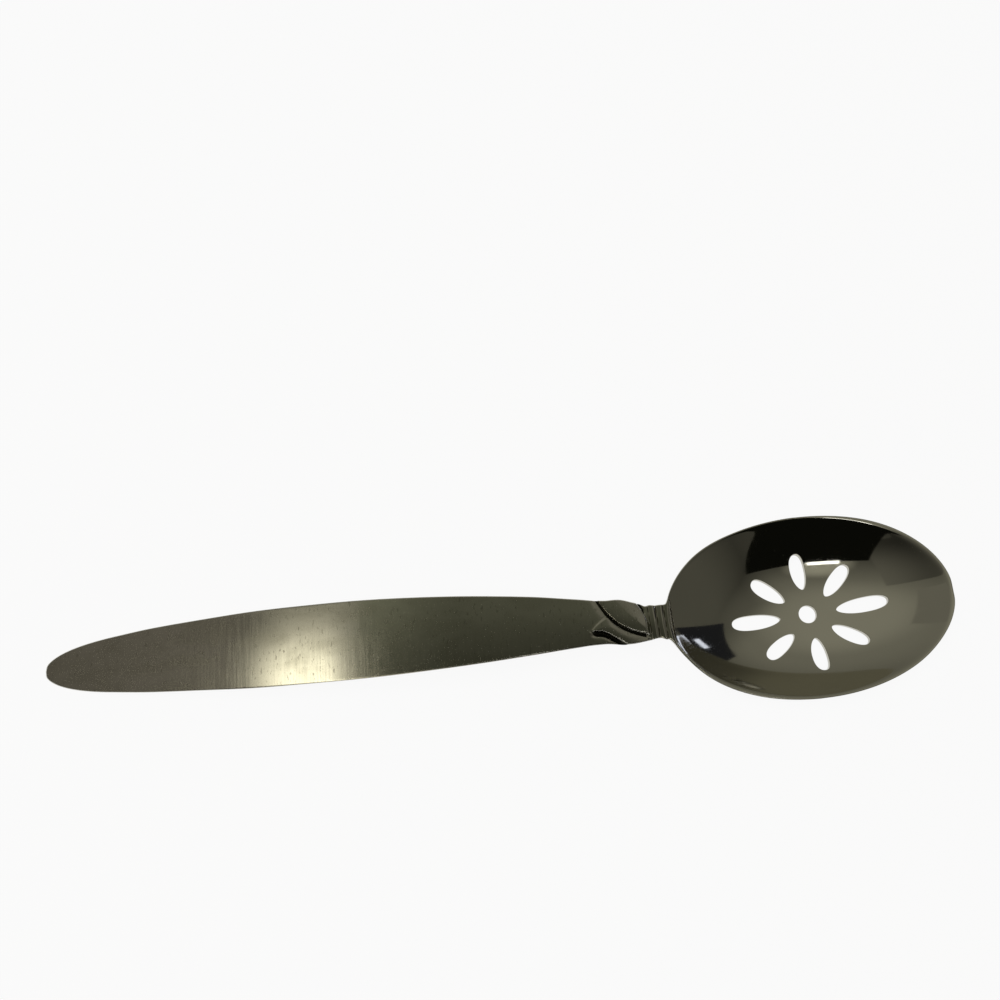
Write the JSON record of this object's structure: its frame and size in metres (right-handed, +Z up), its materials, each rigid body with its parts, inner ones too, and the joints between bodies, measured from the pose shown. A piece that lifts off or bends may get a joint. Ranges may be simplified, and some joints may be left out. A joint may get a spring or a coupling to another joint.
{
  "type": "pierced serving spoon",
  "caption": "One-piece steel serving spoon with an oval bowl pierced by a ring of petal slots round a hole, and a leaf ornament at the neck of its arched handle.",
  "frame": {"origin": "on the table under the middle of the spoon's box, with the bowl's underside and the handle's end resting on z = 0", "axes": "+X along the spoon towards the bowl's tip, +Y across it to the left of someone looking along +X, +Z up out of the bowl"},
  "size_m": [0.213, 0.0426, 0.0179],
  "materials": {
    "steel": "satin brushed handle, mirror polished bowl"
  },
  "bodies": {
    "root": {"pierced_spoon": "steel"}
  },
  "joints": []
}
